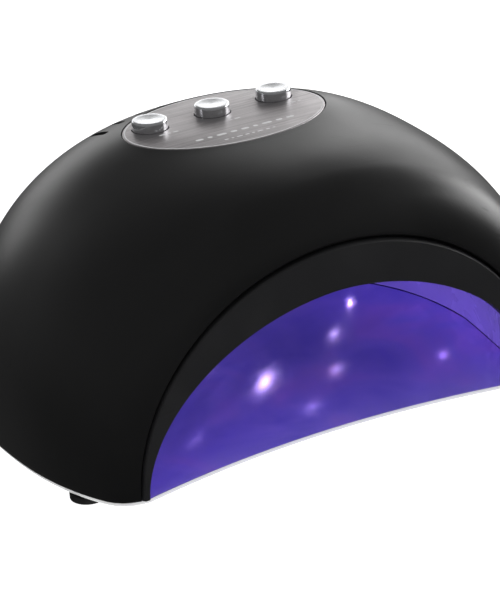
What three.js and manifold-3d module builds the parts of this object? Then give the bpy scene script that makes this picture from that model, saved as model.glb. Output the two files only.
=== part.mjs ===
// Dome-shaped curing lamp for nail gel: a black shell over a reflecting vault that a hand slides into.
// Millimetres, +Z up, the hand opening faces -Y, and the feet stand on z = 0.
import * as THREE from "three";
import { mergeVertices } from "three/addons/utils/BufferGeometryUtils.js";
import Module from "manifold-3d";

const wasm = await Module();
wasm.setup();

const clearance = 0.3; // between neighbours that touch or are cut to fit
const radians = THREE.MathUtils.degToRad;
const degrees = THREE.MathUtils.radToDeg;

// Facets: columns go round a dome, rows go up it
const shellFacets = { columns: 60, rows: 14, hollowRows: 8 };
const vaultFacets = { columns: 36, rows: 8 };
const archSteps = 30;
const ringSteps = 40;
const ovalSides = 56;
const boreSides = 20;
const postSides = 12;
const screwSides = 8;
const lensSides = 10;

// Feet and base plate, from the table upwards
const footHeight = 3.2;
const footRadius = 7.2;
const footStem = 2.6;
const footEdge = 0.8;
const plateThickness = 1.8;
const plateInset = 1.4; // how far the shell overhangs the plate
const plateFrontSag = 10.5; // hollow of the plate's front edge
const floorZ = footHeight + plateThickness; // top of the floor
const bodyZ = floorZ + clearance; // underside of everything that lifts off the plate

// Outer shell: a dome whose plan and upright sections are superellipses, cut off flat at the front
const shell = {
  halfWidth: 115,
  rear: 112,
  front: 114,
  height: 111.7,
  planPower: 2.31,
  risePower: 2.39,
  taper: 0,
};
const shellCut = 68; // from the dome's centre to the flat front
const shellWall = 3;
const shoulderTop = 18; // rounding between dome and front, over the arch
const shoulderFoot = 9; // the same at the foot of the arch

// Front opening: two half superellipses, the bezel lies between them
const arch = { halfWidth: 88.3, height: 63.1, power: 1.89 };
const bezelFoot = 3.7; // width of the bezel where it stands on the plate
const bezelBrow = 18.9; // and over the middle of the arch
const crease = { halfWidth: arch.halfWidth + bezelFoot, height: arch.height + bezelBrow, power: 2 };
const bezelDepth = 8;
const bezelEdge = 0.8;
const bezelGap = 0.5; // parting line between bezel and shell

// Reflector vault: the bays between it and the shell take the emitter strips and the control board
const bay = { side: 16, rear: 16, crown: 40.2 };
const cavity = {
  halfWidth: shell.halfWidth - bay.side,
  rear: shell.rear - bay.rear,
  front: 200, // so long that the sides run nearly straight to the mouth
  height: shell.height - bay.crown,
  planPower: 2.31,
  risePower: 2.2,
  taper: 0.0014, // share of its width that it loses with each millimetre towards the mouth
};
const linerWall = 2;
const linerFront = bezelDepth + clearance - shellCut; // where the vault starts, behind the bezel

// Chassis ring between vault and shell
const frameThickness = 4;
const frameEnd = 120; // where the ring stops beside the opening, in degrees from the rear
const bossRadius = 4.6;
const bossHeight = 18;
const screwShare = 0.6; // screws stand nearer the shell than the vault
const screwHead = 2.6;
const screwHeadDepth = 1.8;
const screwShank = 1;
const screwReach = 7; // depth of thread in a boss
const magnetRadius = 3;
const magnetHeight = 2.2;
const keeperHeight = 0.7;

// Control panel, let into a flat on top of the shell
const panel = { halfWidth: 43.2, halfDepth: 30.9, y: 17.7, drop: 4.1, tilt: -2.5, thickness: 1.2 };
const panelZ = shell.height - panel.drop; // middle of its face, over the shell's lower edge
const flatReach = 2.4; // the flat fades into the dome this many panel sizes out

// Push buttons and the switches under them; heights are from the panel's face
const buttonPitch = 28.4;
const buttonSetBack = 9.5; // button row behind the panel's centre
const buttonRadius = 7.2;
const buttonRise = 4;
const buttonEdge = 0.5;
const buttonTravel = 1.5;
const buttonClearance = 0.35;
const buttonFlange = buttonRadius + 1.6;
const buttonFlangeDepth = 1.6;
const buttonStem = 3;
const buttonFoot = 7;
const switchSize = 6.2;
const plungerRadius = 1.75;
const plungerRise = 2; // half of it stands over the switch's body
const buttonPlaces = [-1, 0, 1].map((side) => ({ x: side * buttonPitch, y: buttonSetBack }));

// Control board, hung from four posts
const boardSize = { width: 2 * buttonPitch + 21.2, depth: 48, thickness: 1.6, y: 4 };
const boardDrop = 13.4; // the board's upper face under the panel's face
const boardMargin = 6; // from the board's front and rear edges to its screws
const boardPostRadius = 3;
const boardScrewLength = 9;
const boardPosts = [-1, 1].flatMap((side) => [
  { x: side * (buttonPitch + 1.6), y: boardSize.y - boardSize.depth / 2 + boardMargin },
  { x: (side * buttonPitch) / 2, y: boardSize.y + boardSize.depth / 2 - boardMargin },
]);

// Vent row behind the panel
const vent = { count: 9, inset: 2.2, width: 3, length: 13, offset: 9 };

// Power inlet low in the rear wall; depths are from the shell's rearmost point
const inlet = { z: 18.5, radius: 5.4, flange: 7.6, flangeDepth: 1.3, depth: 9, bore: 2.9, wall: 1.5, pin: 1 };

// Emitters and the strips that carry them: heights are shares of the vault's height, azimuths are in
// degrees from the rear, towards the right
const ledRadius = 3;
const ledStand = 1.1; // lens height inside the vault
const stripHalf = 5;
const stripThickness = 1.2;
const stripGap = 0.5;
const ledRows = [
  { name: "low_left", rise: 0.143, from: -64, to: -41, leds: [-52.6] },
  { name: "low_right", rise: 0.143, from: 41, to: 64, leds: [52.6] },
  { name: "middle", rise: 0.4, from: -98, to: 98, leds: [-88.8, -50.4, -15, 15, 50.4, 88.8] },
  { name: "upper", rise: 0.68, from: -70, to: 70, leds: [-57.8, -32.5, 32.5, 57.8] },
  { name: "top", rise: 0.89, from: -78, to: 78, leds: [-65, 0, 65] },
];

// Places round the lower edge, in degrees from the rear
const screwSetBack = 14; // of the front pair of screws, behind the flat front
const frontScrewTurn = degrees(Math.atan2(shellCut - screwSetBack, shell.halfWidth - bay.side / 2));
const screwAzimuths = [22, 74, 90 + frontScrewTurn];
const magnetAzimuths = [58, 97];

// Feet under the plate
const footRows = [
  { name: "front", azimuth: 112.4, inset: 6.2 },
  { name: "rear", azimuth: 44.2, inset: 17 },
];

const lamp = new THREE.Group();
lamp.position.y = (shellCut - shell.rear) / 2; // the middle of the footprint comes to the origin

const finish = (color, roughness, metalness = 0) =>
  new THREE.MeshStandardMaterial({ color, roughness, metalness });
const blackGloss = finish(0x161618, 0.25);
const satinBlack = finish(0x1c1c1e, 0.45);
const reflector = finish(0xb9b4d8, 0.15, 0.6);
const palePlastic = finish(0xcfd0d2, 0.4);
const brushedPanel = finish(0x8f8e93, 0.35, 0.9);
const chrome = finish(0xe4e6ea, 0.08, 1);
const rubber = finish(0x0d0d0d, 0.9);
const steel = finish(0x9a9ca0, 0.35, 1);
const board = finish(0x1f5a3a, 0.6);
const lens = finish(0xe8dcff, 0.1);

// ---- Solids ----

// A closed geometry as a manifold, for joining and cutting.
function solidOf(geometry) {
  const bare = geometry.index ? geometry.toNonIndexed() : geometry.clone();
  bare.deleteAttribute("normal");
  bare.deleteAttribute("uv");
  const merged = mergeVertices(bare, 1e-4);
  const vertProperties = new Float32Array(merged.attributes.position.array);
  const triVerts = new Uint32Array(merged.index.array);
  return new wasm.Manifold(new wasm.Mesh({ numProp: 3, vertProperties, triVerts }));
}

// A manifold back as a geometry.
function geometryOf(solid) {
  const mesh = solid.getMesh();
  const geometry = new THREE.BufferGeometry();
  const positions = new Float32Array(mesh.numVert * 3);
  for (let i = 0; i < mesh.numVert; i++) {
    positions.set(mesh.vertProperties.subarray(i * mesh.numProp, i * mesh.numProp + 3), i * 3);
  }
  geometry.setAttribute("position", new THREE.BufferAttribute(positions, 3));
  geometry.setIndex(new THREE.BufferAttribute(new Uint32Array(mesh.triVerts), 1));
  geometry.computeVertexNormals();
  return geometry;
}

// One geometry with others joined to it and cut from it.
function carve(geometry, joined, cuts) {
  let solid = solidOf(geometry);
  for (const piece of joined) solid = solid.add(solidOf(piece));
  for (const piece of cuts) solid = solid.subtract(solidOf(piece));
  return geometryOf(solid);
}

function addPiece(parent, name, geometry, material) {
  const mesh = new THREE.Mesh(geometry, material);
  mesh.name = name;
  parent.add(mesh);
  return mesh;
}

// A cylinder along Z from one height to another.
function post(radius, bottom, top, x = 0, y = 0, sides = postSides) {
  const geometry = new THREE.CylinderGeometry(radius, radius, top - bottom, sides);
  geometry.rotateX(Math.PI / 2);
  return geometry.translate(x, y, (top + bottom) / 2);
}

function block(width, depth, bottom, top, x = 0, y = 0) {
  return new THREE.BoxGeometry(width, depth, top - bottom).translate(x, y, (top + bottom) / 2);
}

// An outline in X and Y, raised from one height to another.
function slab(points, bottom, top) {
  const settings = { depth: top - bottom, bevelEnabled: false };
  const geometry = new THREE.ExtrudeGeometry(new THREE.Shape(points), settings);
  return geometry.translate(0, 0, bottom);
}

// A turned piece: [radius, height] points from the axis, down the outside and back to the axis.
function turned(profile, sides = boreSides) {
  const points = profile.map(([radius, height]) => new THREE.Vector2(radius, height));
  return new THREE.LatheGeometry(points, sides).rotateX(Math.PI / 2);
}

// A closed skin over rings of equal length, with a flat fan on the first and last ring.
function skinOf(rings) {
  const count = rings[0].length;
  const corners = rings.flat();
  const faces = [];
  for (let r = 0; r < rings.length - 1; r++) {
    for (let i = 0; i < count; i++) {
      const a = r * count + i;
      const b = r * count + ((i + 1) % count);
      faces.push(a, b, b + count, a, b + count, a + count);
    }
  }
  for (const [ring, turn] of [[0, true], [rings.length - 1, false]]) {
    const centre = corners.length;
    const middle = new THREE.Vector3();
    rings[ring].forEach((corner) => middle.addScaledVector(corner, 1 / count));
    corners.push(middle);
    for (let i = 0; i < count; i++) {
      const a = ring * count + i;
      const b = ring * count + ((i + 1) % count);
      faces.push(...(turn ? [b, a, centre] : [a, b, centre]));
    }
  }
  const geometry = new THREE.BufferGeometry().setFromPoints(corners);
  geometry.setIndex(faces);
  return geometry;
}

// ---- Dome surfaces; heights here are measured from the shell's lower edge ----

// A dome made smaller all round.
function shrink(dome, by) {
  const { halfWidth, rear, front, height } = dome;
  return { ...dome, halfWidth: halfWidth - by, rear: rear - by, front: front - by, height: height - by };
}

// A superellipse in X and Y: 1 on a dome's outline, less inside.
function planOf(dome, x, y) {
  const halfWidth = dome.halfWidth * (1 + dome.taper * Math.min(y, 0));
  const depth = y < 0 ? dome.front : dome.rear;
  return Math.abs(x / halfWidth) ** dome.planPower + Math.abs(y / depth) ** dome.planPower;
}

// How far a point lies outside a dome, in millimetres; negative inside.
function domeField(dome, point) {
  const rise = Math.abs(point.z / dome.height) ** dome.risePower;
  const plan = planOf(dome, point.x, point.y) ** (dome.risePower / dome.planPower);
  return ((plan + rise) ** (1 / dome.risePower) - 1) * dome.height;
}

// The larger of two fields, with their edge rounded over the given width.
function roundedMax(a, b, width) {
  const overlap = Math.max(width - Math.abs(a - b), 0);
  return Math.max(a, b) + (overlap * overlap) / (4 * width);
}

// The shell's field: the dome and its flat front, with the shoulder rounded between them.
function shellField(inset) {
  const dome = shrink(shell, inset);
  return (point) => {
    const share = THREE.MathUtils.clamp(point.z / dome.height, 0, 1);
    const shoulder = THREE.MathUtils.lerp(shoulderFoot, shoulderTop, share);
    return roundedMax(domeField(dome, point), inset - shellCut - point.y, shoulder);
  };
}

// Where a ray from a point inside leaves the field's surface.
function rayHit(field, from, direction) {
  const point = new THREE.Vector3();
  let near = 0;
  let far = 300;
  for (let i = 0; i < 40; i++) {
    const middle = (near + far) / 2;
    point.copy(from).addScaledVector(direction, middle);
    if (field(point) < 0) near = middle;
    else far = middle;
  }
  return point;
}

// The point on a field's surface at a height and an azimuth from the rear.
function wallPoint(field, azimuth, height) {
  const direction = new THREE.Vector3(Math.sin(radians(azimuth)), Math.cos(radians(azimuth)), 0);
  return rayHit(field, new THREE.Vector3(0, 0, height), direction);
}

// The outward direction of a field at a point.
function outward(field, point) {
  const slope = ["x", "y", "z"].map((axis) => {
    const ahead = point.clone();
    ahead[axis] += 0.01;
    return field(ahead) - field(point);
  });
  return new THREE.Vector3(...slope).normalize();
}

// A solid dome, with a straight skirt under its lower edge.
function domeSolid(field, columns, rows, skirt) {
  const rings = [];
  for (let row = 0; row < rows; row++) {
    const rise = (row / rows) * (Math.PI / 2);
    const ring = [];
    for (let column = 0; column < columns; column++) {
      const azimuth = (-column / columns) * 2 * Math.PI;
      const flat = new THREE.Vector3(Math.sin(azimuth), Math.cos(azimuth), 0).multiplyScalar(Math.cos(rise));
      ring.push(rayHit(field, new THREE.Vector3(), flat.setZ(Math.sin(rise))));
    }
    rings.push(ring);
  }
  if (skirt > 0) rings.unshift(rings[0].map((corner) => corner.clone().setZ(-skirt)));
  const crown = rayHit(field, new THREE.Vector3(), new THREE.Vector3(0, 0, 1));
  rings.push(rings[0].map(() => crown.clone()));
  return skinOf(rings);
}

// The height of the panel's plane at y, moved down by a depth.
function panelPlane(y, depth) {
  return panelZ - depth + Math.tan(radians(panel.tilt)) * (y - panel.y);
}

// How high a dome stands over a point of its plan.
function domeHeight(dome, x, y) {
  const plan = planOf(dome, x, y) ** (dome.risePower / dome.planPower);
  return dome.height * (1 - plan) ** (1 / dome.risePower);
}

// Cuts the crown of a dome flat under the panel, and lets the dome round it meet the panel's edge.
function flattenCrown(geometry, dome, depth) {
  const position = geometry.attributes.position;
  for (let i = 0; i < position.count; i++) {
    const x = position.getX(i);
    const y = position.getY(i);
    const z = position.getZ(i);
    const away = Math.hypot(x / panel.halfWidth, (y - panel.y) / panel.halfDepth);
    if (z < shell.height / 2 || away > flatReach) continue;
    if (away <= 1) {
      position.setZ(i, panelPlane(y, depth));
      continue;
    }
    const edgeY = panel.y + (y - panel.y) / away;
    const lift = panelPlane(edgeY, depth) - domeHeight(dome, x / away, edgeY);
    position.setZ(i, z + lift * (1 - THREE.MathUtils.smoothstep(away, 1, flatReach)));
  }
  return geometry;
}

// ---- Outlines ----

// Points round a field's lower edge, from one azimuth to another.
function outline(field, from, to, steps) {
  const points = [];
  for (let i = 0; i <= steps; i++) {
    const hit = wallPoint(field, from + ((to - from) * i) / steps, 0);
    points.push(new THREE.Vector2(hit.x, hit.y));
  }
  return points;
}

// An arch over the opening, from its left foot to its right foot, in X and height.
function archPoints({ halfWidth, height, power }, inset, steps) {
  const points = [];
  for (let i = 0; i <= steps; i++) {
    const turn = Math.PI * (1 - i / steps);
    const across = Math.sign(Math.cos(turn)) * Math.abs(Math.cos(turn)) ** (2 / power);
    const up = Math.abs(Math.sin(turn)) ** (2 / power);
    points.push(new THREE.Vector2((halfWidth - inset) * across, (height - inset) * up));
  }
  return points;
}

// An outline in X and height, run along Y, with its edges bevelled.
function alongY(points, front, rear, bevel = 0) {
  const geometry = new THREE.ExtrudeGeometry(new THREE.Shape(points), {
    depth: rear - front - 2 * bevel,
    bevelEnabled: bevel > 0,
    bevelThickness: bevel,
    bevelSize: bevel,
    bevelOffset: -bevel,
    bevelSegments: 1,
  });
  return geometry.rotateX(Math.PI / 2).translate(0, rear - bevel, 0);
}

const sideOf = (value) => (value < 0 ? "left" : "right");
const bothSides = (azimuths) => azimuths.flatMap((azimuth) => [-azimuth, azimuth]);
const vaultOuter = (point) => domeField(shrink(cavity, -linerWall), point);
const vaultInner = (point) => domeField(cavity, point);

// A place in the bay between vault and shell: share 0 is on the vault, 1 on the shell.
function bayPoint(azimuth, share) {
  return wallPoint(vaultOuter, azimuth, 0).lerp(wallPoint(shellField(shellWall), azimuth, 0), share);
}

// ---- Outer shell ----

// Takes a geometry made on the panel's face to where the panel is.
function ontoPanel(geometry) {
  return geometry.rotateX(radians(panel.tilt)).translate(0, panel.y, panelZ);
}

function oval(grow, bottom, top) {
  return post(1, bottom, top, 0, 0, ovalSides).scale(panel.halfWidth + grow, panel.halfDepth + grow, 1);
}

// A cylinder along Y through the rear wall; depths are from the shell's rearmost point.
function rearPost(radius, from, to) {
  const geometry = post(radius, from, to, 0, 0, boreSides).rotateX(-Math.PI / 2);
  return geometry.translate(0, shell.rear, inlet.z - bodyZ);
}

function ventSlots() {
  const slots = [];
  for (let i = 0; i < vent.count; i++) {
    const x = (panel.halfWidth - vent.inset) * ((2 * i) / (vent.count - 1) - 1);
    const arc = Math.sqrt(1 - (x / (panel.halfWidth + 2 * vent.offset)) ** 2);
    const y = panel.y + (panel.halfDepth + vent.offset) * arc;
    slots.push(block(vent.width, vent.length, shell.height / 2, shell.height * 1.2, x, y));
  }
  return slots;
}

// The front opening of the shell, up to the crease.
function mouth() {
  const arc = archPoints(crease, 0, archSteps);
  const below = [crease.halfWidth, -crease.halfWidth].map((x) => new THREE.Vector2(x, -shellWall));
  return alongY([...arc, ...below], -shellCut - shellWall, -shellCut + 2 * shellWall);
}

function outerShell() {
  const { columns, rows, hollowRows } = shellFacets;
  const skin = solidOf(flattenCrown(domeSolid(shellField(0), columns, rows, 0), shell, 0));
  const inner = domeSolid(shellField(shellWall), columns, hollowRows, shellWall);
  const hollow = solidOf(flattenCrown(inner, shrink(shell, shellWall), shellWall));
  const top = -panel.thickness - shellWall / 3;
  const posts = boardPosts.map(({ x, y }) =>
    ontoPanel(post(boardPostRadius, clearance - boardDrop, top, x, y)));
  const postBores = boardPosts.map(({ x, y }) =>
    ontoPanel(post(screwShank + clearance, -boardDrop, screwReach - boardDrop, x, y, screwSides)));
  const places = bothSides(screwAzimuths).map((azimuth) => bayPoint(azimuth, screwShare));
  const bosses = places.map(({ x, y }) =>
    post(bossRadius, frameThickness + clearance, frameThickness + bossHeight, x, y));
  const bossBores = places.map(({ x, y }) =>
    post(screwShank + clearance, 0, frameThickness + screwReach, x, y, screwSides));
  const buttonBores = buttonPlaces.flatMap(({ x, y }) => [
    ontoPanel(post(buttonRadius + buttonClearance, -2 * shellWall, shellWall, x, y, boreSides)),
    ontoPanel(post(buttonFlange + buttonClearance, -3 * shellWall, -shellWall, x, y, boreSides)),
  ]);
  const cuts = [
    mouth(),
    ontoPanel(oval(clearance, -panel.thickness - clearance, 3 * shellWall)),
    rearPost(inlet.flange + clearance, -inlet.flangeDepth - clearance, shellWall),
    rearPost(inlet.radius + clearance, -3 * shellWall, shellWall),
    ...postBores,
    ...bossBores,
    ...buttonBores,
    ...ventSlots(),
  ];
  let solid = skin.subtract(hollow);
  for (const piece of [...posts, ...bosses]) solid = solid.add(solidOf(piece).intersect(skin));
  for (const piece of cuts) solid = solid.subtract(solidOf(piece));
  return geometryOf(solid);
}

// ---- Front bezel, vault and chassis ring ----

function frontBezel() {
  const points = [...archPoints(crease, bezelGap, archSteps), ...archPoints(arch, 0, archSteps).reverse()];
  return alongY(points, -shellCut, -shellCut + bezelDepth, bezelEdge);
}

// Where an emitter sits on the vault's inner face, and the way it points.
function emitterSeat(azimuth, rise) {
  const place = wallPoint(vaultInner, azimuth, rise * cavity.height);
  const inward = outward(vaultInner, place).negate();
  const turn = new THREE.Quaternion().setFromUnitVectors(new THREE.Vector3(0, 0, 1), inward);
  return { place, turn };
}

function innerLiner() {
  const skin = domeSolid(vaultOuter, vaultFacets.columns, vaultFacets.rows, 0);
  const hollow = domeSolid(vaultInner, vaultFacets.columns, vaultFacets.rows, linerWall);
  const front = block(4 * cavity.halfWidth, 2 * cavity.front, -linerWall, shell.height);
  front.translate(0, linerFront - cavity.front, 0);
  const holes = ledRows.flatMap(({ rise, leds }) => leds.map((azimuth) => {
    const { place, turn } = emitterSeat(azimuth, rise);
    return post(ledRadius + clearance, -2 * linerWall, 2 * linerWall, 0, 0, lensSides)
      .applyQuaternion(turn)
      .translate(place.x, place.y, place.z);
  }));
  return carve(skin, [], [hollow, front, ...holes]);
}

function baseFrame() {
  const outer = outline(shellField(shellWall + clearance), -frameEnd, frameEnd, ringSteps);
  const vaultClear = (point) => domeField(shrink(cavity, -linerWall - clearance), point);
  const inner = outline(vaultClear, -frameEnd, frameEnd, ringSteps);
  const front = block(4 * shellCut, 2 * shellCut, -1, 2 * frameThickness, 0, linerFront - shellCut);
  const screws = bothSides(screwAzimuths).flatMap((azimuth) => {
    const { x, y } = bayPoint(azimuth, screwShare);
    return [
      post(screwShank + clearance, -1, 2 * frameThickness, x, y, screwSides),
      post(screwHead + clearance, -1, screwHeadDepth + 2 * clearance, x, y),
    ];
  });
  const magnets = bothSides(magnetAzimuths).map((azimuth) => {
    const { x, y } = bayPoint(azimuth, 0.5);
    return post(magnetRadius + clearance, -1, magnetHeight + 2 * clearance, x, y);
  });
  return carve(slab([...outer, ...inner.reverse()], 0, frameThickness), [], [front, ...screws, ...magnets]);
}

function screw(reach) {
  return turned([[0, 0], [screwHead, 0], [screwHead, screwHeadDepth], [screwShank, screwHeadDepth],
    [screwShank, reach], [0, reach]], screwSides);
}

// ---- Control panel, buttons and board ----

function controlPanel() {
  const holes = buttonPlaces.map(({ x, y }) =>
    post(buttonRadius + buttonClearance, -2 * panel.thickness, panel.thickness, x, y, boreSides));
  return carve(oval(0, -panel.thickness, 0), [], holes);
}

function pushButton() {
  const flangeTop = -shellWall - clearance;
  const flangeFoot = flangeTop - buttonFlangeDepth;
  return turned([[0, -buttonFoot], [buttonStem, -buttonFoot], [buttonStem, flangeFoot],
    [buttonFlange, flangeFoot], [buttonFlange, flangeTop], [buttonRadius, flangeTop],
    [buttonRadius, buttonRise - buttonEdge], [buttonRadius - buttonEdge, buttonRise], [0, buttonRise]]);
}

function tactSwitch() {
  const plungerTop = -buttonFoot - buttonTravel - clearance;
  const body = block(switchSize, switchSize, clearance - boardDrop, plungerTop - plungerRise / 2);
  return carve(body, [post(plungerRadius, plungerTop - plungerRise, plungerTop)], []);
}

function controlBoard() {
  const holes = boardPosts.map(({ x, y }) =>
    post(screwShank + clearance, -2 * boardDrop, 0, x, y, screwSides));
  const { width, depth, thickness, y } = boardSize;
  return carve(block(width, depth, -boardDrop - thickness, -boardDrop, 0, y), [], holes);
}

// ---- Power inlet and emitters ----

function inletSocket() {
  const { radius, flange, flangeDepth, depth, bore } = inlet;
  const socket = turned([[0, -depth], [radius, -depth], [radius, -flangeDepth], [flange, -flangeDepth],
    [flange, 0], [bore, 0], [bore, inlet.wall - depth], [0, inlet.wall - depth]]);
  return socket.rotateX(-Math.PI / 2);
}

function inletPin() {
  const { depth, pin } = inlet;
  const foot = inlet.wall + clearance - depth;
  return turned([[0, foot], [pin, foot], [pin, -1.5 * pin], [0, -pin]], postSides).rotateX(-Math.PI / 2);
}

function emitter() {
  const foot = clearance - linerWall - stripGap;
  const rim = ledStand * 0.2;
  const shoulder = [ledRadius * 0.78, ledStand * 0.75];
  return turned([[0, foot], [ledRadius, foot], [ledRadius, rim], shoulder, [0, ledStand]], lensSides);
}

// A strip bent round the vault at one height.
function ledStrip({ rise, from, to }) {
  const steps = Math.ceil((to - from) / 8);
  const rings = [];
  for (let i = 0; i <= steps; i++) {
    const azimuth = from + ((to - from) * i) / steps;
    const place = wallPoint(vaultOuter, azimuth, rise * cavity.height);
    const out = outward(vaultOuter, place);
    const along = new THREE.Vector3(Math.cos(radians(azimuth)), -Math.sin(radians(azimuth)), 0);
    const up = new THREE.Vector3().crossVectors(out, along).normalize();
    const corner = (away, rise) => place.clone().addScaledVector(out, away).addScaledVector(up, rise);
    const far = stripGap + stripThickness;
    rings.push([corner(stripGap, stripHalf), corner(far, stripHalf), corner(far, -stripHalf),
      corner(stripGap, -stripHalf)]);
  }
  return skinOf(rings);
}

// ---- Base plate and feet ----

// Each foot's place, drawn in from the plate's edge.
const footPlaces = footRows.flatMap(({ name, azimuth, inset }) => bothSides([azimuth]).map((turn) => {
  const edge = wallPoint(shellField(plateInset), turn, 0);
  return { name: `foot_${name}_${sideOf(turn)}`, ...edge.setLength(edge.length() - inset) };
}));

function basePlate() {
  const front = plateInset - shellCut;
  const points = outline(shellField(plateInset), 0, 355, 71).map(({ x, y }) => {
    const hollow = plateFrontSag * Math.max(1 - (x / arch.halfWidth) ** 2, 0);
    return new THREE.Vector2(x, Math.max(y, front + hollow));
  });
  const stems = footPlaces.map(({ x, y }) =>
    post(footStem + clearance, footHeight - 1, floorZ + 1, x, y));
  const pockets = bothSides(magnetAzimuths).map((azimuth) => {
    const { x, y } = bayPoint(azimuth, 0.5);
    return post(magnetRadius + clearance, floorZ - keeperHeight - 2 * clearance, floorZ + 1, x, y);
  });
  return carve(slab(points.reverse(), footHeight, floorZ), [], [...stems, ...pockets]);
}

function foot() {
  const top = footHeight - clearance;
  return turned([[0, 0], [footRadius - footEdge, 0], [footRadius, footEdge], [footRadius, top],
    [footStem, top], [footStem, floorZ - clearance], [0, floorZ - clearance]]);
}

// ---- Assembly ----

const housing = new THREE.Group(); // everything that lifts off the base plate
housing.position.z = bodyZ;
lamp.add(housing);
addPiece(housing, "outer_shell", outerShell(), blackGloss);
addPiece(housing, "front_bezel", frontBezel(), satinBlack);
addPiece(housing, "inner_liner", innerLiner(), reflector);
addPiece(housing, "base_frame", baseFrame(), satinBlack);

screwAzimuths.forEach((azimuth, row) => {
  bothSides([azimuth]).forEach((turn) => {
    const piece = addPiece(housing, `frame_screw_${["rear", "middle", "front"][row]}_${sideOf(turn)}`,
      screw(frameThickness + screwReach - 1), steel);
    const { x, y } = bayPoint(turn, screwShare);
    piece.position.set(x, y, clearance);
  });
});

magnetAzimuths.forEach((azimuth, row) => {
  bothSides([azimuth]).forEach((turn) => {
    const where = `${["rear", "front"][row]}_${sideOf(turn)}`;
    const { x, y } = bayPoint(turn, 0.5);
    const magnet = post(magnetRadius, clearance, clearance + magnetHeight, x, y);
    const keeper = post(magnetRadius, floorZ - clearance - keeperHeight, floorZ - clearance, x, y);
    addPiece(housing, `magnet_${where}`, magnet, steel);
    addPiece(lamp, `keeper_${where}`, keeper, steel);
  });
});

const face = new THREE.Group(); // the panel's own frame, its face at height 0
face.position.set(0, panel.y, panelZ);
face.rotation.x = radians(panel.tilt);
housing.add(face);
addPiece(face, "control_panel", controlPanel(), brushedPanel);
addPiece(face, "control_board", controlBoard(), board);
buttonPlaces.forEach(({ x, y }, i) => {
  const which = ["left", "middle", "right"][i];
  addPiece(face, `button_${which}`, pushButton(), chrome).position.set(x, y, 0);
  addPiece(face, `switch_${which}`, tactSwitch(), satinBlack).position.set(x, y, 0);
});
boardPosts.forEach(({ x, y }) => {
  const name = `board_screw_${y < 0 ? "front" : "rear"}_${sideOf(x)}`;
  const piece = addPiece(face, name, screw(boardScrewLength), steel);
  piece.position.set(x, y, -boardDrop - boardSize.thickness - clearance - screwHeadDepth);
});

const rearWall = new THREE.Group();
rearWall.position.set(0, shell.rear, inlet.z - bodyZ);
housing.add(rearWall);
addPiece(rearWall, "dc_inlet", inletSocket(), satinBlack);
addPiece(rearWall, "dc_inlet_pin", inletPin(), steel);

for (const row of ledRows) {
  addPiece(housing, `led_strip_${row.name}`, ledStrip(row), board);
  row.leds.forEach((azimuth, i) => {
    const { place, turn } = emitterSeat(azimuth, row.rise);
    const number = row.leds.length > 1 ? `_${i + 1}` : "";
    const piece = addPiece(housing, `led_${row.name}${number}`, emitter(), lens);
    piece.position.copy(place);
    piece.quaternion.copy(turn);
  });
}

addPiece(lamp, "base_plate", basePlate(), palePlastic);
footPlaces.forEach(({ name, x, y }) => {
  addPiece(lamp, name, foot(), rubber).position.set(x, y, 0);
});

export default lamp;
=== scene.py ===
import math

import bmesh
import bpy
import numpy as np
from mathutils import Matrix, Vector


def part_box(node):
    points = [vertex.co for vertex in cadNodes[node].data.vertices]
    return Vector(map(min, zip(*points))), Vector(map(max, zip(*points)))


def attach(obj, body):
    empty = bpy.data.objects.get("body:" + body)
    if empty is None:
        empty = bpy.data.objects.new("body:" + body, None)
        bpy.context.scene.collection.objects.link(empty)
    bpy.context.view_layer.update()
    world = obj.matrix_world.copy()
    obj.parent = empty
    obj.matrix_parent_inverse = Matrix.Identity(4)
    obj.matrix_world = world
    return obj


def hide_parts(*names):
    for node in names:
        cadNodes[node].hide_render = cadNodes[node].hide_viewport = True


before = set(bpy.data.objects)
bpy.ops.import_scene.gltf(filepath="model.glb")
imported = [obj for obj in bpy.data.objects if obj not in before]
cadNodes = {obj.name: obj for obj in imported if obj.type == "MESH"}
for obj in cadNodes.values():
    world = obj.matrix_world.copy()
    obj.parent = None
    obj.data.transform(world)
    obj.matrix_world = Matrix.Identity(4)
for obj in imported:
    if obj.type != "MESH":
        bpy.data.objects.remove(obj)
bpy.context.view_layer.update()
scene = bpy.context.scene
print("frame loaded:", len(cadNodes), "nodes")

# sizes are in metres; the dome's own frame has its origin in the middle of the shell's lower edge
shellLow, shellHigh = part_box("outer_shell")
plateLow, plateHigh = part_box("base_plate")
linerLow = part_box("inner_liner")[0]
bezelLow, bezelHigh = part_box("front_bezel")

shellShape = {
    "halfWidth": shellHigh.x,
    "rear": 0.112,
    "front": 0.114,
    "height": 0.1117,
    "planPower": 2.31,
    "risePower": 2.39,
    "taper": 0,
    "cut": 0.068,  # how far the flat front lies from the dome's centre
    "wall": 0.003,
    "shoulderTop": 0.018,
    "shoulderFoot": 0.009,
    "lip": 0.0006,
    "edge": 0.0002,
    "creaseReach": 0.0017,  # the lip falls away into the crease
    "creaseDrop": 0.0027,
    "creaseSteps": 6,
    "creaseFlat": 0.55,  # from 0, a full round, to 1, a straight chamfer
}
domeOrigin = Vector((0, shellHigh.y - shellShape["rear"], shellLow.z))

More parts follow.
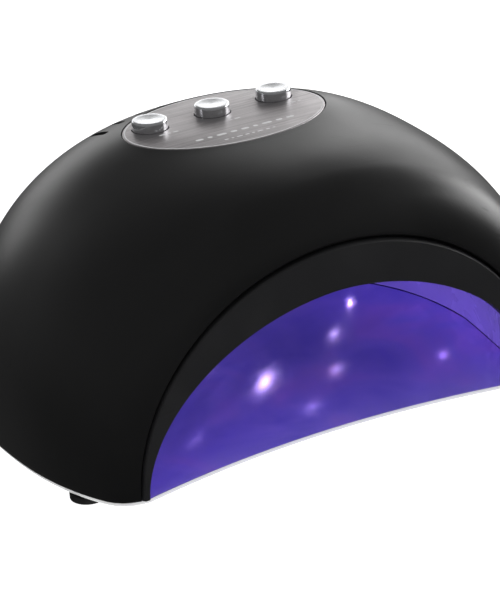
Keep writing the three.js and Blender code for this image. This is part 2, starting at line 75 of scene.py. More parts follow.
creaseShape = {"halfWidth": 0.092, "height": 0.082, "power": 2}
archShape = {"halfWidth": 0.0883, "height": 0.0631, "power": 1.89}
panelShape = {
    "halfWidth": 0.0432,
    "halfDepth": 0.0309,
    "y": 0.0177,
    "z": 0.1129 - shellLow.z,
    "tilt": math.radians(-2.5),
    "thickness": 0.0012,
    "gap": 0.0003,
    "fade": 2.4,  # the crown blends into the dome within this many of the panel's half sizes
    "seatEdge": [(0, 0.0004), (0.00006, 0.0001), (0.0002, 0)],  # width beyond the gap, and depth
}
vaultShape = {
    "halfWidth": 0.099,
    "rear": 0.096,
    "front": 0.2,
    "height": 0.0715,
    "planPower": 2.31,
    "risePower": 2.2,
    "taper": 1.4,  # share of its width that it loses with each metre towards the mouth
    "wall": 0.002,
}


# surfaces of the dome; points are numpy rows
def shrink(dome, by):
    smaller = dict(dome)
    for side in ("halfWidth", "rear", "front", "height"):
        smaller[side] -= by
    return smaller


def planOf(dome, x, y):
    depth = np.where(y < 0, dome["front"], dome["rear"])
    width = dome["halfWidth"] * (1 + dome["taper"] * np.minimum(y, 0))
    return np.abs(x / width) ** dome["planPower"] + np.abs(y / depth) ** dome["planPower"]


def domeField(dome, p):
    power = dome["risePower"]
    plan = planOf(dome, p[:, 0], p[:, 1])
    rise = np.abs(p[:, 2] / dome["height"]) ** power
    return ((plan ** (power / dome["planPower"]) + rise) ** (1 / power) - 1) * dome["height"]


def domeHeight(dome, x, y):
    power = dome["risePower"]
    left = np.clip(1 - planOf(dome, x, y) ** (power / dome["planPower"]), 0, None)
    return dome["height"] * left ** (1 / power)


def shellField(inset):
    # the dome and its flat front, joined by a rounded shoulder that widens towards the top
    dome = shrink(shellShape, inset)
    foot, top = shellShape["shoulderFoot"], shellShape["shoulderTop"]

    def field(p):
        share = np.clip(p[:, 2] / dome["height"], 0, 1)
        width = foot + (top - foot) * share
        side = domeField(dome, p)
        front = inset - shellShape["cut"] - p[:, 1]
        overlap = np.clip(width - np.abs(side - front), 0, None)
        return np.maximum(side, front) + overlap ** 2 / (4 * width)

    return field


def vaultField(outset):
    dome = shrink(vaultShape, -outset)
    return lambda p: domeField(dome, p)


def rayHits(field, directions, start=(0, 0, 0)):
    # where rays from a point inside leave a surface, found by halving
    longest, halvings = 0.3, 36
    near = np.zeros(len(directions))
    far = np.full(len(directions), longest)
    start = np.array(start, float)
    for _ in range(halvings):
        middle = (near + far) / 2
        inside = field(start + directions * middle[:, None]) < 0
        near = np.where(inside, middle, near)
        far = np.where(inside, far, middle)
    return start + directions * near[:, None]


def unit(p):
    return p / np.linalg.norm(p, axis=-1, keepdims=True)


def edgePoints(field, azimuths, height=0.0):
    # points on a surface at one height; azimuths in degrees from the rear
    turn = np.radians(np.asarray(azimuths, float))
    directions = np.stack([np.sin(turn), np.cos(turn), np.zeros(len(turn))], 1)
    return rayHits(field, directions, (0, 0, height))


def borderLoop(field, foot, columns, archOver):
    # points round the base from foot to foot, then back over the arch, and all their azimuths
    footAzimuth = math.degrees(math.atan2(foot[0], foot[1]))
    baseCount = round(columns * footAzimuth / 180) + 1
    azimuths = np.linspace(-footAzimuth, footAzimuth, baseCount)
    arch, share = archOver(columns - baseCount + 2)
    archAzimuths = footAzimuth + share * (360 - 2 * footAzimuth)
    points = np.concatenate([edgePoints(field, azimuths), arch])
    return points, np.concatenate([azimuths, archAzimuths])


def surfaceNormal(field, point):
    step = 1e-5
    around = np.array([point] + [point + step * axis for axis in np.eye(3)])
    values = field(around)
    return unit(values[1:] - values[0])


def archPoints(arch, turns, inset=0.0):
    # turns run from 0 at the left foot to 1 at the right foot
    angle = np.pi * (1 - np.asarray(turns))
    across = np.sign(np.cos(angle)) * np.abs(np.cos(angle)) ** (2 / arch["power"])
    up = np.abs(np.sin(angle)) ** (2 / arch["power"])
    return (arch["halfWidth"] - inset) * across, (arch["height"] - inset) * up


def panelPlane(y, depth=0.0):
    return panelShape["z"] - depth + math.tan(panelShape["tilt"]) * (y - panelShape["y"])


def ovalRing(azimuths, grow, depth=0.0):
    turn = np.radians(azimuths)
    x = (panelShape["halfWidth"] + grow) * np.sin(turn)
    y = panelShape["y"] + (panelShape["halfDepth"] + grow) * np.cos(turn)
    return np.stack([x, y, panelPlane(y, depth)], 1)


def meetPanel(p, dome, depth):
    # the crown comes to the panel's edge and fades back into the dome
    x, y = p[:, 0], p[:, 1] - panelShape["y"]
    away = np.hypot(x / panelShape["halfWidth"], y / panelShape["halfDepth"])
    edgeX = x / np.maximum(away, 1)
    edgeY = panelShape["y"] + y / np.maximum(away, 1)
    lift = panelPlane(edgeY, depth) - domeHeight(dome, edgeX, edgeY)
    t = np.clip((away - 1) / (panelShape["fade"] - 1), 0, 1)
    hold = np.where(p[:, 2] > shellShape["height"] / 2, 1 - t * t * (3 - 2 * t), 0)
    return p + np.stack([0 * lift, 0 * lift, lift * hold], 1)


def fanRows(field, crown, border, rows):
    # rings of surface points from the crown's directions out to the border's
    start, end = unit(crown), unit(border)
    angle = np.arccos(np.clip((start * end).sum(1), -1, 1))[:, None]
    rings = []
    for row in range(rows + 1):
        t = row / rows
        direction = (np.sin((1 - t) * angle) * start + np.sin(t * angle) * end) / np.sin(angle)
        rings.append(rayHits(field, unit(direction)))
    return rings


# mesh building; smooth is the angle in degrees above which an edge stays sharp
def makePiece(name, points, faces, smooth, origin=domeOrigin):
    mesh = bpy.data.meshes.new(name)
    mesh.from_pydata([Vector(p) + origin for p in points], [], faces)
    mesh.validate()
    piece = bpy.data.objects.new(name, mesh)
    scene.collection.objects.link(piece)
    shadeByAngle(piece, smooth)
    return piece


def shadeByAngle(piece, degrees):
    mesh = piece.data
    mesh.shade_smooth()
    if degrees < 180:
        mesh.set_sharp_from_angle(angle=math.radians(degrees))


def ringFaces(ringCount, ringLength):
    faces = []
    for r in range(ringCount - 1):
        low, high = r * ringLength, (r + 1) * ringLength
        for i in range(ringLength):
            j = (i + 1) % ringLength
            faces.append((low + i, low + j, high + j, high + i))
    return faces


def skinPiece(name, rings, smooth, origin=domeOrigin):
    # closed skin over rings, flat on the first and last
    count = len(rings[0])
    faces = ringFaces(len(rings), count)
    faces.append(tuple(reversed(range(count))))
    faces.append(tuple(range((len(rings) - 1) * count, len(rings) * count)))
    return makePiece(name, np.concatenate(rings), faces, smooth, origin)


def roundTurns(sides):
    return np.arange(sides) * 2 * np.pi / sides


def turnedPoints(profile, sides):
    turn = roundTurns(sides)
    rings = []
    for radius, height in profile:
        rings.append(np.stack([radius * np.cos(turn), radius * np.sin(turn), np.full(sides, height)], 1))
    return rings


def roundedProfile(corners, segments):
    # corners are (radius, height, rounding); each corner is rounded by its own amount
    axisRadius = 1e-5  # rings on the axis keep a hair's width
    points = []
    for i, (radius, height, rounding) in enumerate(corners):
        here = Vector((radius, height))
        if rounding == 0 or i in (0, len(corners) - 1):
            points.append(here)
            continue
        before = (Vector(corners[i - 1][:2]) - here).normalized()
        after = (Vector(corners[i + 1][:2]) - here).normalized()
        start, end = here + before * rounding, here + after * rounding
        for k in range(segments + 1):
            t = k / segments
            points.append(start * (1 - t) ** 2 + here * 2 * t * (1 - t) + end * t ** 2)
    return [(max(p.x, axisRadius), p.y) for p in points]


def turnedPiece(name, corners, sides, smooth, segments=4):
    # a turned solid, its profile from the foot of the axis outwards and up
    rings = turnedPoints(roundedProfile(corners, segments), sides)
    return skinPiece(name, rings, smooth, Vector())


def roundCutter(name, steps, top, sides):
    # a cutter in round steps, each (radius, foot), the last one up to the top
    profile = [(0, steps[0][1], 0)]
    ends = [foot for _, foot in steps[1:]] + [top]
    for (radius, foot), end in zip(steps, ends):
        profile += [(radius, foot, 0), (radius, end, 0)]
    return turnedPiece(name, [*profile, (0, top, 0)], sides, 180)


def recalcNormals(piece):
    work = bmesh.new()
    work.from_mesh(piece.data)
    bmesh.ops.recalc_face_normals(work, faces=work.faces)
    work.to_mesh(piece.data)
    work.free()


def movePoints(piece, matrix):
    piece.data.transform(matrix)
    piece.data.update()
    return piece


def cutAway(piece, cutters, smooth):
    # removes the cutters' shapes from a piece, and the cutters with them
    for cutter in cutters:
        recalcNormals(cutter)
    recalcNormals(piece)
    bpy.context.view_layer.objects.active = piece
    for cutter in cutters:
        modifier = piece.modifiers.new("cut", "BOOLEAN")
        modifier.operation = "DIFFERENCE"
        modifier.solver = "EXACT"
        modifier.object = cutter
        bpy.ops.object.modifier_apply(modifier=modifier.name)
        bpy.data.objects.remove(cutter)
    shadeByAngle(piece, smooth)


def finishPiece(piece, body, nodeNames, material):
    piece.data.materials.clear()
    piece.data.materials.append(material)
    if nodeNames:
        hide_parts(*nodeNames)
    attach(piece, body)


panelFrame = (
    Matrix.Translation(domeOrigin + Vector((0, panelShape["y"], panelShape["z"])))
    @ Matrix.Rotation(panelShape["tilt"], 4, "X")
)


def place(tree, kind, values=None, **settings):
    # one shader node, its settings, and its inputs: numbers are set, sockets are linked
    node = tree.nodes.new("ShaderNode" + kind)
    for label, value in settings.items():
        setattr(node, label, value)
    for label, value in (values or {}).items():
        if isinstance(value, bpy.types.NodeSocket):
            tree.links.new(value, node.inputs[label])
        else:
            node.inputs[label].default_value = value
    return node


def feed(node, label, socket):
    node.id_data.links.new(socket, node.inputs[label])


def setInputs(node, values):
    for label, value in values.items():
        node.inputs[label.replace("_", " ")].default_value = value


def newMaterial(name, **values):
    material = bpy.data.materials.new(name)
    material.use_nodes = True
    shader = material.node_tree.nodes["Principled BSDF"]
    setInputs(shader, values)
    return material, material.node_tree, shader


def remap(tree, value, source=(0, 1), target=(0, 1)):
    # a value that runs over the source made to run over the target, and held at its ends
    values = {"Value": value, "From Min": source[0], "From Max": source[1]}
    values.update({"To Min": target[0], "To Max": target[1]})
    return place(tree, "MapRange", values).outputs["Result"]


# camera, floor and light
camera = {
    "turn": math.radians(28.92),  # round the lamp, from straight in front towards its left
    "rise": math.radians(23.95),
    "roll": math.radians(-3.4),
    "distance": 1.37,
    "lens": 204.6,
    "aimHeight": 0.04,
    "aimAside": -0.0026,
    "farthest": 50,
}


def makeCamera():
    turn, rise, roll = camera["turn"], camera["rise"], camera["roll"]
    flat = math.cos(rise)
    ahead = Vector((math.sin(turn) * flat, math.cos(turn) * flat, -math.sin(rise)))
    level = Vector((math.cos(turn), -math.sin(turn), 0))
    upright = level.cross(ahead)
    across = math.cos(roll) * level + math.sin(roll) * upright
    upward = across.cross(ahead)
    data = bpy.data.cameras.new("camera")
    data.lens = camera["lens"]
    data.clip_end = camera["farthest"]
    view = bpy.data.objects.new("camera", data)
    aim = Vector((0, domeOrigin.y, camera["aimHeight"])) + camera["aimAside"] * across
    turned = Matrix((across, upward, -ahead)).transposed().to_4x4()
    view.matrix_world = Matrix.Translation(aim - ahead * camera["distance"]) @ turned
    scene.collection.objects.link(view)
    scene.camera = view


studio = {
    "above": 0.19,  # the room's light from above and from below
    "below": 0.09,
    "fade": (-0.25, 0.05),  # where the one passes into the other, as the height of a direction
    "floorHalf": 8,
    "floorShade": 0.86,
    "floorRoughness": 0.9,
    "floorGlow": 0.82,
    "aim": (0, 0, 0.05),
    "top": {"place": (-0.5, -0.3, 1.6), "size": (1.2, 1.2), "energy": 12, "mirrored": False},
    "window": {"place": (3.0, -0.05, 0.68), "size": (2.1, 1.25), "energy": 42, "mirrored": True},
    "sky": {"place": (2.5, 1.3, 1.1), "size": (3.0, 1.8), "energy": 28, "mirrored": True},
    "rear": {"place": (0.55, 3.0, 0.6), "size": (3.4, 1.1), "energy": 16, "mirrored": True},
}


def areaLight(name):
    light = studio[name]
    data = bpy.data.lights.new(name, "AREA")
    data.shape = "RECTANGLE"
    data.size, data.size_y = light["size"]
    data.energy = light["energy"]
    lamp = bpy.data.objects.new(name + "Light", data)
    lamp.location = light["place"]
    lamp.rotation_mode = "QUATERNION"
    lamp.rotation_quaternion = (Vector(studio["aim"]) - lamp.location).to_track_quat("-Z", "Y")
    lamp.visible_glossy = light["mirrored"]
    scene.collection.objects.link(lamp)


def makeRoom():
    # the room is a little brighter above than below
    world = bpy.data.worlds.new("studio")
    scene.world = world
    world.use_nodes = True
    tree = world.node_tree
    background = tree.nodes["Background"]
    background.inputs["Color"].default_value = (1, 1, 1, 1)
    direction = place(tree, "TexCoord").outputs["Generated"]
    upward = place(tree, "SeparateXYZ", {0: direction}).outputs["Z"]
    feed(background, "Strength", remap(tree, upward, studio["fade"], (studio["below"], studio["above"])))


def makeFloor():
    mesh = bpy.data.meshes.new("floor")
    half, shade = studio["floorHalf"], studio["floorShade"]
    corners = [(-half, -half, 0), (half, -half, 0), (half, half, 0), (-half, half, 0)]
    mesh.from_pydata(corners, [], [(0, 1, 2, 3)])
    floor = bpy.data.objects.new("studioFloor", mesh)
    scene.collection.objects.link(floor)
    colour = (shade, shade, shade, 1)
    material, _, shader = newMaterial("paleFloor", Base_Color=colour, Roughness=studio["floorRoughness"])
    setInputs(shader, {"Emission Color": (1, 1, 1, 1), "Emission Strength": studio["floorGlow"]})
    mesh.materials.append(material)
    floor.visible_glossy = False  # the lamp mirrors the dim room, as over a dark bench


makeCamera()
scene.view_settings.view_transform = "Standard"
makeRoom()
makeFloor()
for name in ("top", "window", "sky", "rear"):
    areaLight(name)
print("camera and studio made")


# shader node groups that the materials share
def newGroup(name, inputs, outputs):
    group = bpy.data.node_groups.new(name, "ShaderNodeTree")
    for label, value in inputs.items():
        socket = group.interface.new_socket(label, in_out="INPUT", socket_type="NodeSocketFloat")
        socket.default_value = value
    for label in outputs:
        group.interface.new_socket(label, in_out="OUTPUT", socket_type="NodeSocketFloat")
    start = group.nodes.new("NodeGroupInput")
    end = group.nodes.new("NodeGroupOutput")
    return group, start, end


def ramp(tree, factor, stops):
    node = place(tree, "ValToRGB", {"Fac": factor})
    elements = node.color_ramp.elements
    while len(elements) < len(stops):
        elements.new(0.5)
    for element, (position, colour) in zip(elements, stops):
        element.position = position
        element.color = (*colour, 1)
    return node.outputs["Color"]


def objectPoints(tree):
    return place(tree, "TexCoord").outputs["Object"]


def maths(tree, operation, a, b):
    return place(tree, "Math", {0: a, 1: b}, operation=operation).outputs[0]


def noise(tree, points, scale, detail, **more):
    values = {"Vector": points, "Scale": scale, "Detail": detail, **more}
    return place(tree, "TexNoise", values).outputs["Fac"]


def mouldGrainGroup():
    # fine texture of moulded plastic, with a slow waviness under it
    inputs = {"Grain Size": 0.0006, "Grain": 1.0, "Waviness": 0.3}
    tree, start, end = newGroup("mouldGrain", inputs, ["Height"])
    points = objectPoints(tree)
    scale = maths(tree, "DIVIDE", 1.0, start.outputs["Grain Size"])
    grain = noise(tree, points, scale, 3.0)
    waves = noise(tree, points, 28.0, 1.0)
    fine = maths(tree, "MULTIPLY", grain, start.outputs["Grain"])
    slow = maths(tree, "MULTIPLY", waves, start.outputs["Waviness"])
    feed(end, "Height", maths(tree, "ADD", fine, slow))
    return tree


def handlingMarksGroup():
    # soft smudges and sparse hairline scratches; both are masks from 0 to 1
    tree, start, end = newGroup("handlingMarks", {"Size": 0.03}, ["Smudges", "Scratches"])
    points = objectPoints(tree)
    scale = maths(tree, "DIVIDE", 1.0, start.outputs["Size"])
    smudges = noise(tree, points, scale, 5.0, Distortion=0.6)
    feed(end, "Smudges", remap(tree, smudges, (0.42, 0.72)))
    stretch = {"Vector": points, "Rotation": (0.5, 0.3, 0.9), "Scale": (9, 420, 60)}
    stretched = place(tree, "Mapping", stretch).outputs["Vector"]
    feed(end, "Scratches", remap(tree, noise(tree, stretched, 3.0, 2.0), (0.70, 0.76)))
    return tree


def brushLinesGroup():
    # fine parallel lines of brushed metal, along X
    tree, start, end = newGroup("brushLines", {"Width": 0.0003}, ["Lines"])
    stretch = {"Vector": objectPoints(tree), "Scale": (0.012, 1, 1)}
    stretched = place(tree, "Mapping", stretch).outputs["Vector"]
    scale = maths(tree, "DIVIDE", 1.0, start.outputs["Width"])
    feed(end, "Lines", noise(tree, stretched, scale, 4.0))
    return tree


mouldGrain = mouldGrainGroup()
handlingMarks = handlingMarksGroup()
brushLines = brushLinesGroup()


# materials
def useGroup(tree, group, **values):
    node = tree.nodes.new("ShaderNodeGroup")
    node.node_tree = group
    setInputs(node, values)
    return node.outputs


def bumpFrom(tree, shader, height, distance):
    bump = place(tree, "Bump", {"Height": height, "Distance": distance, "Strength": 1.0})
    feed(shader, "Normal", bump.outputs["Normal"])


def spread(tree, factor, low, high):
    return remap(tree, factor, target=(low, high))


def roughFrom(tree, shader, base, marks, most):
    # roughness, with up to the most added where the surface is marked
    feed(shader, "Roughness", maths(tree, "ADD", base, spread(tree, marks, 0, most)))


def plasticMaterial(name, dark, pale, gloss, grain, specular):
    # moulded plastic: colour drifts between two shades, gloss between two roughnesses
    smudgeSize, grainSize, depth, waves, bumpHeight = grain
    material, tree, shader = newMaterial(name, Specular_IOR_Level=specular)
    marks = useGroup(tree, handlingMarks, Size=smudgeSize)
    height = useGroup(tree, mouldGrain, Grain_Size=grainSize, Grain=depth, Waviness=waves)["Height"]
    feed(shader, "Base Color", ramp(tree, marks["Smudges"], [(0, dark), (1, pale)]))
    roughFrom(tree, shader, spread(tree, marks["Smudges"], *gloss), marks["Scratches"], 0.12)
    bumpFrom(tree, shader, height, bumpHeight)
    return material


def metalMaterial(name, dark, pale, gloss, lineWidth, lineDepth):
    # brushed metal: colour and gloss follow the lines
    material, tree, shader = newMaterial(name, Metallic=1.0)
    lines = useGroup(tree, brushLines, Width=lineWidth)["Lines"]
    marks = useGroup(tree, handlingMarks, Size=0.02)
    feed(shader, "Base Color", ramp(tree, lines, [(0.3, dark), (0.7, pale)]))
    roughFrom(tree, shader, spread(tree, lines, *gloss), marks["Smudges"], 0.08)
    bumpFrom(tree, shader, lines, lineDepth)
    return material


def plateMaterial():
    # a mirror face on a pale sheet: the violet on the upward face, in cloudy patches, is painted emitter
    # light
    material, tree, shader = newMaterial("polishedFloor", Coat_Roughness=0.04)
    normal = place(tree, "NewGeometry").outputs["Normal"]
    upright = place(tree, "SeparateXYZ", {0: normal}).outputs["Z"]
    top = remap(tree, upright, (0.9, 0.99))
    marks = useGroup(tree, handlingMarks, Size=0.035)
    # painted violet emitter light, in patches, on the upward face only
    paintedGlowPatches = noise(tree, objectPoints(tree), 24.0, 3.0, Distortion=0.8)
    paintedLightTints = [(0.32, (0.42, 0.41, 0.78)), (0.5, (0.58, 0.53, 0.86)), (0.68, (0.78, 0.56, 0.86))]
    face = ramp(tree, paintedGlowPatches, paintedLightTints)
    sheet = ramp(tree, marks["Smudges"], [(0, (0.88, 0.88, 0.89)), (1, (0.94, 0.94, 0.94))])
    colour = place(tree, "Mix", {"Factor": top, "A": sheet, "B": face}, data_type="RGBA")
    feed(shader, "Base Color", colour.outputs["Result"])
    feed(shader, "Metallic", spread(tree, top, 0.0, 1.0))
    feed(shader, "Coat Weight", spread(tree, top, 0.0, 0.35))
    feed(shader, "Roughness", spread(tree, marks["Smudges"], 0.15, 0.24))
    height = useGroup(tree, mouldGrain, Grain_Size=0.0008, Grain=0.2, Waviness=1.0)
    bumpFrom(tree, shader, height["Height"], 0.00005)
    return material


def boardMaterial():
    # solder resist over copper tracks
    material, tree, shader = newMaterial("solderResist")
    pattern = {"Vector": objectPoints(tree), "Scale": 220.0, "Mortar Size": 0.03}
    tracks = place(tree, "TexBrick", pattern, offset=0.35).outputs["Fac"]
    feed(shader, "Base Color", ramp(tree, tracks, [(0, (0.012, 0.075, 0.035)), (1, (0.03, 0.16, 0.07))]))
    marks = useGroup(tree, handlingMarks, Size=0.01)
    feed(shader, "Roughness", spread(tree, marks["Smudges"], 0.32, 0.5))
    bumpFrom(tree, shader, tracks, 0.00004)
    return material


def emitterMaterial(name, glowStrength):
    # a lit lens: pale in the middle, violet towards its rim
    material, tree, shader = newMaterial(name, Roughness=0.12, Emission_Strength=glowStrength)
    facing = place(tree, "LayerWeight", {"Blend": 0.35}).outputs["Facing"]
    glowTints = [(0.03, (0.95, 0.72, 1.0)), (0.18, (0.34, 0.20, 0.62)), (0.8, (0.05, 0.03, 0.13))]
    feed(shader, "Emission Color", ramp(tree, facing, glowTints))
    feed(shader, "Base Color", ramp(tree, facing, [(0, (0.8, 0.75, 0.95)), (1, (0.5, 0.42, 0.85))]))
    return material


emitterLight = {
    "lens": 0.35,  # glow of the lenses and of the chips in them
    "chip": 7.0,
    "brightChip": 80.0,
    "brightNode": "led_upper_3",
    "energy": 0.125,
    "weakNodes": (
        "led_low_left", "led_middle_1", "led_middle_2", "led_upper_1", "led_upper_2", "led_top_1",
    ),
    "weakShare": 0.3,
    "colour": (0.42, 0.29, 1.0),
    "cone": math.radians(165),
}

glossBlack = plasticMaterial(
    "glossBlack", (0.0018, 0.0018, 0.002), (0.003, 0.003, 0.0033), (0.32, 0.39),
    (0.05, 0.0009, 0.25, 1.0, 0.00006), 0.5,
)
bezelBlack = plasticMaterial(
    "bezelBlack", (0.0085, 0.0085, 0.0095), (0.0115, 0.0115, 0.0125), (0.44, 0.52),
    (0.03, 0.0007, 0.5, 0.4, 0.00006), 0.5,
)
innerPlastic = plasticMaterial(
    "innerPlastic", (0.010, 0.010, 0.011), (0.020, 0.020, 0.021), (0.45, 0.6),
    (0.02, 0.0005, 1.0, 0.2, 0.00008), 0.4,
)
# the vault's violet colour is painted emitter light over a pale reflector plastic
vaultPaintedVioletLight = plasticMaterial(
    "vaultPaintedVioletLight", (0.30, 0.26, 0.50), (0.36, 0.31, 0.58), (0.20, 0.32),
    (0.04, 0.0012, 0.2, 1.0, 0.0001), 0.5,
)
footRubber = plasticMaterial(
    "footRubber", (0.006, 0.006, 0.006), (0.016, 0.016, 0.016), (0.78, 0.92),
    (0.006, 0.0004, 1.0, 0.2, 0.00012), 0.3,
)
polishedFloor = plateMaterial()
brushedPanel = metalMaterial(
    "brushedPanel", (0.28, 0.265, 0.27), (0.58, 0.55, 0.56), (0.30, 0.46), 0.00034, 0.00003
)
panelInk = plasticMaterial(
    "panelInk", (0.70, 0.70, 0.71), (0.80, 0.80, 0.81), (0.5, 0.6),
    (0.004, 0.0002, 1.0, 0.1, 0.00002), 0.3,
)
buttonChrome = metalMaterial(
    "buttonChrome", (0.72, 0.73, 0.75), (0.80, 0.81, 0.83), (0.13, 0.19), 0.0010, 0.000002
)
steel = metalMaterial("steel", (0.42, 0.42, 0.43), (0.55, 0.55, 0.56), (0.28, 0.42), 0.0005, 0.00001)
solderResist = boardMaterial()
litLens = emitterMaterial("litLens", emitterLight["lens"])
litChip = emitterMaterial("litChip", emitterLight["chip"])
brightChip = emitterMaterial("brightChip", emitterLight["brightChip"])
print("materials made")


# outer shell
shellMesh = {"columns": 240, "rows": 46, "innerRows": 22}
vents = {
    "count": 9,
    "reach": 0.041,
    "width": 0.003,
    "length": 0.013,
    "offset": 0.009,
    "sides": 24,
    "cutFrom": 0.6,  # shares of the shell's height
    "cutTo": 1.2,
}
inlet = {
    "z": 0.0185 - shellLow.z,
    "radius": 0.0054,
    "flange": 0.0076,
    "flangeDepth": 0.0013,
    "depth": 0.009,
    "bore": 0.0029,
    "wall": 0.0015,
    "gap": 0.0003,
    "backEdge": 0.0004,
    "edge": 0.0005,
    "lead": (0.0006, 0.0005, 0.0001),  # the bore's mouth: width, depth and rounding
    "sides": 72,
}
buttons = {
    "pitch": 0.0284,
    "setBack": 0.0095,
    "radius": 0.0072,
    "rise": 0.004,
    "gap": 0.00035,
    "flange": 0.0088,
    "flangeDepth": 0.0016,
    "stem": 0.003,
    "foot": 0.007,
    "edge": 0.0009,
    "dish": 0.00025,
    "dishEdge": (2.2, 0.00002, 0.0005),  # in from the side in edges, down, and rounding
    "slack": 0.0003,  # between the flange and the shell's inner face
    "stemEdge": 0.0004,
    "flangeEdge": 0.0002,
    "sides": 96,
}
buttonPlaces = {"left": -buttons["pitch"], "middle": 0.0, "right": buttons["pitch"]}


def mouthBorder(inset):
    # the shell's border, over the arch of the crease
    field = shellField(inset)
    ahead = np.array([[0, -1.0, 0]])

    def archOver(count):
        turns = np.linspace(1, 0, count)[1:-1]
        starts = zip(*archPoints(creaseShape, turns))
        return np.array([rayHits(field, ahead, (x, 0, z))[0] for x, z in starts]), 1 - turns

    foot = rayHits(field, ahead, (creaseShape["halfWidth"], 0, 0))[0]
    return borderLoop(field, foot, shellMesh["columns"], archOver)


def lipCurve(before, corner, after, steps=3, flat=0.0):
    # rings that round a corner between two rings; flat runs from a full curve to a straight chamfer
    rings = []
    corner = corner * (1 - flat) + (before + after) / 2 * flat
    for k in range(1, steps + 1):
        t = k / (steps + 1)
        rings.append(before * (1 - t) ** 2 + corner * 2 * t * (1 - t) + after * t ** 2)
    return rings


def towards(a, b, distance):
    return a + unit(b - a) * distance


def creaseRings(border, beside, innerBorder):
    # the lip falls into the crease, further at the top of the arch than at its feet
    lip = shellShape["lip"]
    share = np.clip(border[:, 2:] / creaseShape["height"], 0, 1) ** 0.5
    reach = towards(border, beside, lip + (shellShape["creaseReach"] - lip) * share)
    drop = towards(border, innerBorder, lip + (shellShape["creaseDrop"] - lip) * share)
    curve = lipCurve(reach, border, drop, shellShape["creaseSteps"], shellShape["creaseFlat"])
    return [reach, *curve, drop]


def domeRows(inset, crown, border, rows):
    # one face of the shell, from the panel's seat to the mouth
    dome = shrink(shellShape, inset)
    rings = fanRows(shellField(inset), crown, border, rows)
    return [crown] + [meetPanel(ring, dome, inset) for ring in rings[1:]]


def makeShell():
    # rings from the panel's seat over the dome, round the lip and back up inside
    wall, gap = shellShape["wall"], panelShape["gap"]
    recess = panelShape["thickness"] + gap
    border, azimuths = mouthBorder(0)
    innerBorder, innerAzimuths = mouthBorder(wall)
    seat = [ovalRing(azimuths, gap + grow, depth) for grow, depth in panelShape["seatEdge"]]
    crown = seat.pop()
    outer = domeRows(0, crown, border, shellMesh["rows"])
    inner = domeRows(wall, ovalRing(innerAzimuths, gap, wall), innerBorder, shellMesh["innerRows"])
    innerEdge = towards(innerBorder, border, shellShape["edge"])
    innerFoot = towards(innerBorder, inner[-2], shellShape["lip"])
    rings = [ovalRing(azimuths, gap, recess), *seat, *outer[:-1]]
    rings += creaseRings(border, outer[-2], innerBorder)
    rings += [innerEdge, *lipCurve(innerEdge, innerBorder, innerFoot), innerFoot]
    rings += inner[-2::-1]
    shell = skinPiece("outerShell", rings, 30)
    bores = [buttonBore(x) for x in buttonPlaces.values()]
    cutAway(shell, ventCutters() + bores + [inletBore()], 30)
    return shell


def ventCutters():
    # slots with round ends, on an arc behind the panel
    cutters = []
    sides = vents["sides"]
    half, endRadius = vents["length"] / 2, vents["width"] / 2
    low, high = shellShape["height"] * vents["cutFrom"], shellShape["height"] * vents["cutTo"]
    for i in range(vents["count"]):
        x = vents["reach"] * (2 * i / (vents["count"] - 1) - 1)
        arc = math.sqrt(1 - (x / (panelShape["halfWidth"] + 2 * vents["offset"])) ** 2)
        y = panelShape["y"] + (panelShape["halfDepth"] + vents["offset"]) * arc
        outline = []
        for k in range(sides):
            turn = 2 * math.pi * k / sides
            end = (half - endRadius) * (1 if math.sin(turn) >= 0 else -1)
            outline.append((x + endRadius * math.cos(turn), y + end + endRadius * math.sin(turn)))
        rings = [np.column_stack([outline, np.full(sides, z)]) for z in (low, high)]
        cutters.append(skinPiece("ventCutter", rings, 180))
    return cutters


def buttonFrame(x):
    return panelFrame @ Matrix.Translation((x, buttons["setBack"], 0))


def buttonBore(x):
    radius = buttons["radius"] + buttons["gap"]
    flange = buttons["flange"] + buttons["gap"]
    wall = shellShape["wall"]
    steps = [(flange, -3 * wall), (radius, -wall)]
    return movePoints(roundCutter("buttonBore", steps, wall, 64), buttonFrame(x))


def rearWallFrame():
    # the power inlet's own frame: its axis out of the rear wall
    centre = domeOrigin + Vector((0, shellShape["rear"], inlet["z"]))
    return Matrix.Translation(centre) @ Matrix.Rotation(-math.pi / 2, 4, "X")


def inletBore():
    gap, wall = inlet["gap"], shellShape["wall"]
    radius, flange = inlet["radius"] + gap, inlet["flange"] + gap
    steps = [(radius, -3 * wall), (flange, -inlet["flangeDepth"] - gap)]
    return movePoints(roundCutter("inletBore", steps, wall, 64), rearWallFrame())


finishPiece(makeShell(), "housing", ["outer_shell"], glossBlack)
print("shell made")


# front bezel
bezel = {
    "gap": 0.00015,
    "depth": bezelHigh.y - bezelLow.y,
    "steps": 120,
    "edge": 0.0008,
    "brow": 0.0018,  # how far the outer front edge slopes, across and back
    "drop": 0.004,
    "edgeShare": 0.3,  # most of the band's width that each may take
    "browShare": 0.4,
    "browFlat": 0.55,
    "cornerSteps": 5,
}


def makeBezel():
    # a crescent band: one section at each step from foot to foot
    turns = np.linspace(0, 1, bezel["steps"] + 1)
    outers = np.stack(archPoints(creaseShape, turns, bezel["gap"]), 1)
    inners = np.stack(archPoints(archShape, turns), 1)
    rings = [bezelSection(inner, outer) for inner, outer in zip(inners, outers)]
    return skinPiece("frontBezel", rings, 40)


